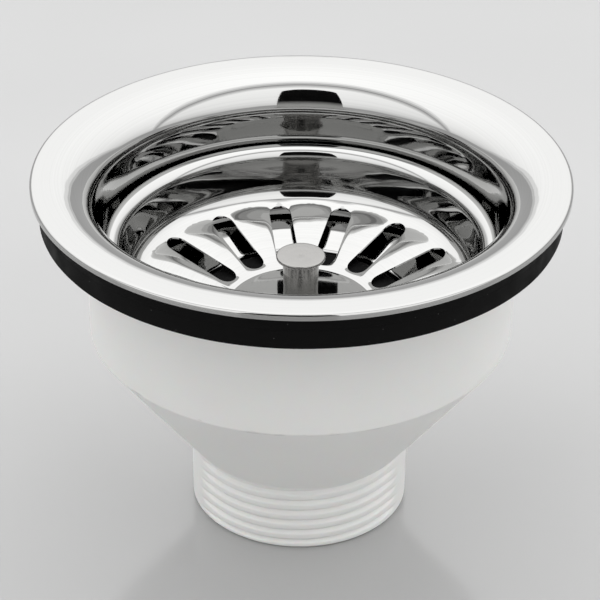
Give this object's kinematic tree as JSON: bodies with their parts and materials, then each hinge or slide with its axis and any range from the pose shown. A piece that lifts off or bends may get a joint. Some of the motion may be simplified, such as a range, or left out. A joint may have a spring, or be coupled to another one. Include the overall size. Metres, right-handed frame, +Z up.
{
  "type": "basket strainer waste",
  "caption": "Round kitchen sink waste: polished steel flange and lift-out slotted basket over a white plastic body that narrows to a threaded outlet.",
  "frame": {"origin": "centre of the outlet's lower end", "axes": "+Z up along the waste's axis, from the outlet to the flange"},
  "size_m": [0.114, 0.114, 0.0805],
  "materials": {
    "pressed_steel": "pressed stainless sheet, bright polished",
    "turned_steel": "turned steel, satin",
    "white_plastic": "moulded polypropylene, satin",
    "black_rubber": "moulded rubber, matt",
    "brass": "turned brass",
    "fibre": "punched vulcanised fibre"
  },
  "bodies": {
    "waste": {"flange": "pressed_steel", "upper_seal": "black_rubber", "lower_seal": "black_rubber", "waste_body": "white_plastic", "centre_bolt": "turned_steel", "bolt_washer": "fibre", "clamp_nut": "brass"},
    "strainer": {"basket": "pressed_steel", "knob": "turned_steel", "plug_seal": "black_rubber", "seal_washer": "pressed_steel", "guide_stem": "turned_steel", "stem_ring": "black_rubber"}
  },
  "joints": [
    {"name": "basket_lift", "type": "slide", "parent": "waste", "child": "strainer", "axis": [0, 0, 1], "range_m": [0, 0.008]}
  ]
}
